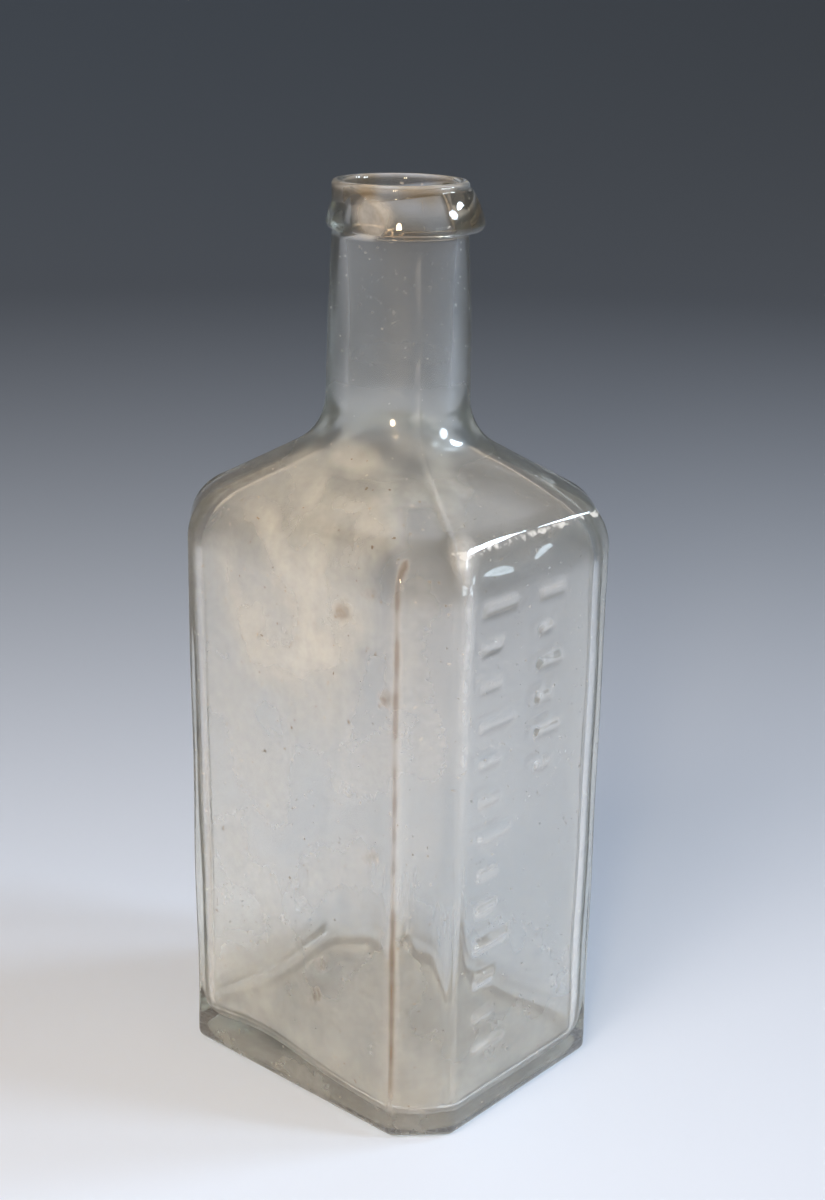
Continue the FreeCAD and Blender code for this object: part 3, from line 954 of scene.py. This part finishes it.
def stage_material(looks):
    """Smooth paper, pale round the bottle and darker with the distance from there and up the wall: a
    painted pool of light with its falloff.

    The paint is the floor's colour times 1 / (1 + (way / FADE_REACH) ** FADE_POWER), plus a little.
    """
    n = Nodes("paper_with_painted_falloff")
    x, y, z = n.split(n.place())
    ahead = y * math.cos(CAMERA_TURN) - x * math.sin(CAMERA_TURN) + FADE_NEAR
    across = (x * math.cos(CAMERA_TURN) + y * math.sin(CAMERA_TURN)) * FADE_SIDE
    way = (ahead * ahead + across * across) ** 0.5 + z * FADE_RISE
    # Painted pool of light: the paint falls off with the way from just in front of the bottle and up the
    # wall
    level = 1.0 / ((way / FADE_REACH) ** FADE_POWER + 1.0) * (1.0 - FADE_LEAST) + FADE_LEAST
    paint = n.mix_colour(level, (*PAPER_DARK, 1.0), (*looks.floor, 1.0))
    paper = n.add("ShaderNodeBsdfPrincipled", None, {
        "Base Color": paint, "Roughness": PAPER_ROUGH, "Specular IOR Level": PAPER_SHINE})
    return n.finish(paper)


# ------------------------------------------------------------------ operators


def new_object(name, mesh, material):
    piece = bpy.data.objects.new(name, mesh)
    bpy.context.scene.collection.objects.link(piece)
    mesh.materials.append(material)
    return piece


class BOTTLE_OT_glass(bpy.types.Operator):
    """Make the glass: one closed skin, outside, lip and inside, with ripples, seam, marks and flake"""
    bl_idname = "bottle.glass"
    bl_label = "Glass bottle"

    def execute(self, context):
        points, layers = bottle_grid(context.scene.bottle_sizes)
        mesh = mesh_from_grid("glass_bottle", points, layers)
        piece = new_object("glass_bottle", mesh, glass_material(context.scene.bottle_looks))
        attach(piece, "root")
        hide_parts("bottle")
        return {"FINISHED"}


def area_lamp(name, place, target, size, power, colour):
    """Oval lamp that looks at the target and doesn't show to the camera."""
    light = bpy.data.lights.new(name, "AREA")
    light.shape = "ELLIPSE"
    light.size, light.size_y = size
    light.energy, light.color = power, colour
    lamp = bpy.data.objects.new(name, light)
    lamp.location = place
    lamp.rotation_euler = (Vector(target) - Vector(place)).to_track_quat("-Z", "Y").to_euler()
    lamp.visible_camera = False
    lamp.visible_glossy = lamp.visible_transmission = name != SOFT_LAMP
    bpy.context.scene.collection.objects.link(lamp)
    return lamp


def lamp_place(middle, turn, rise, way):
    """Place of a lamp from its direction round and above the bottle's middle, and its distance."""
    direction = (math.cos(turn) * math.cos(rise), math.sin(turn) * math.cos(rise), math.sin(rise))
    return middle + way * Vector(direction)


class BOTTLE_OT_stage(bpy.types.Operator):
    """Make the stage: paper floor and wall painted with a pool of light round the bottle, soft lamps, the
    world and the camera
    """
    bl_idname = "bottle.stage"
    bl_label = "Stage"

    def execute(self, context):
        scene = context.scene
        looks = scene.stage_looks
        points = stage_grid()
        mesh = mesh_from_grid("paper", points[:, ::-1], {}, closed=False)
        new_object("paper", mesh, stage_material(looks))
        middle = Vector((0.0, 0.0, scene.bottle_sizes.height / 2.0))
        for name, turn, rise, way, size, share, colour in LAMPS:
            place = lamp_place(middle, math.radians(turn), math.radians(rise), way)
            area_lamp(name, place, middle, size, looks.key * share, colour)
        world = bpy.data.worlds.new("studio")
        world.use_nodes = True
        background = world.node_tree.nodes["Background"]
        background.inputs["Color"].default_value = WORLD_COLOUR
        background.inputs["Strength"].default_value = WORLD_STRENGTH
        scene.world = world
        self.add_camera(scene, scene.bottle_sizes.height)
        scene.view_settings.view_transform = "Standard"
        return {"FINISHED"}

    @staticmethod
    def add_camera(scene, height):
        """Camera looking down at the middle of the bottle from its near corner, moved a little."""
        turn, pitch, roll = CAMERA_TURN, CAMERA_PITCH, CAMERA_ROLL
        level = math.cos(pitch)
        ahead = Vector((-math.sin(turn) * level, math.cos(turn) * level, -math.sin(pitch)))
        right = Vector((math.cos(turn), math.sin(turn), 0.0))
        up = right.cross(ahead)
        tilted_right = math.cos(roll) * right + math.sin(roll) * up
        tilted_up = math.cos(roll) * up - math.sin(roll) * right
        camera = bpy.data.objects.new("camera", bpy.data.cameras.new("camera"))
        camera.data.lens = CAMERA_LENS
        camera.data.clip_start = CAMERA_CLIP
        across, upward = CAMERA_OFFSET
        camera.location = (Vector((0.0, 0.0, height / 2.0)) - CAMERA_DISTANCE * ahead
                           + across * tilted_right + upward * tilted_up)
        axes = (tilted_right, tilted_up, -ahead)
        camera.rotation_mode = "QUATERNION"
        camera.rotation_quaternion = Matrix(axes).transposed().to_quaternion()
        scene.collection.objects.link(camera)
        scene.camera = camera


class BOTTLE_PT_panel(bpy.types.Panel):
    """Sizes, colours and the buttons that make the pieces"""
    bl_idname = "BOTTLE_PT_panel"
    bl_label = "Glass lotion bottle"
    bl_space_type = "VIEW_3D"
    bl_region_type = "UI"
    bl_category = "Bottle"

    def draw(self, context):
        for group in (getattr(context.scene, name) for name in GROUPS):
            for name in group.__annotations__:
                self.layout.prop(group, name)
        for operator in (BOTTLE_OT_glass, BOTTLE_OT_stage):
            self.layout.operator(operator.bl_idname)


CLASSES = (BottleSizes, BottleLooks, StageLooks, BOTTLE_OT_glass, BOTTLE_OT_stage, BOTTLE_PT_panel)
GROUPS = {"bottle_sizes": BottleSizes, "bottle_looks": BottleLooks, "stage_looks": StageLooks}


def register():
    for cls in CLASSES:
        bpy.utils.register_class(cls)
    for name, group in GROUPS.items():
        setattr(bpy.types.Scene, name, PointerProperty(type=group))


def unregister():
    for name in GROUPS:
        delattr(bpy.types.Scene, name)
    for cls in reversed(CLASSES):
        bpy.utils.unregister_class(cls)


def main():
    register()
    bpy.ops.bottle.glass()
    bpy.ops.bottle.stage()


if __name__ == "__main__":
    main()
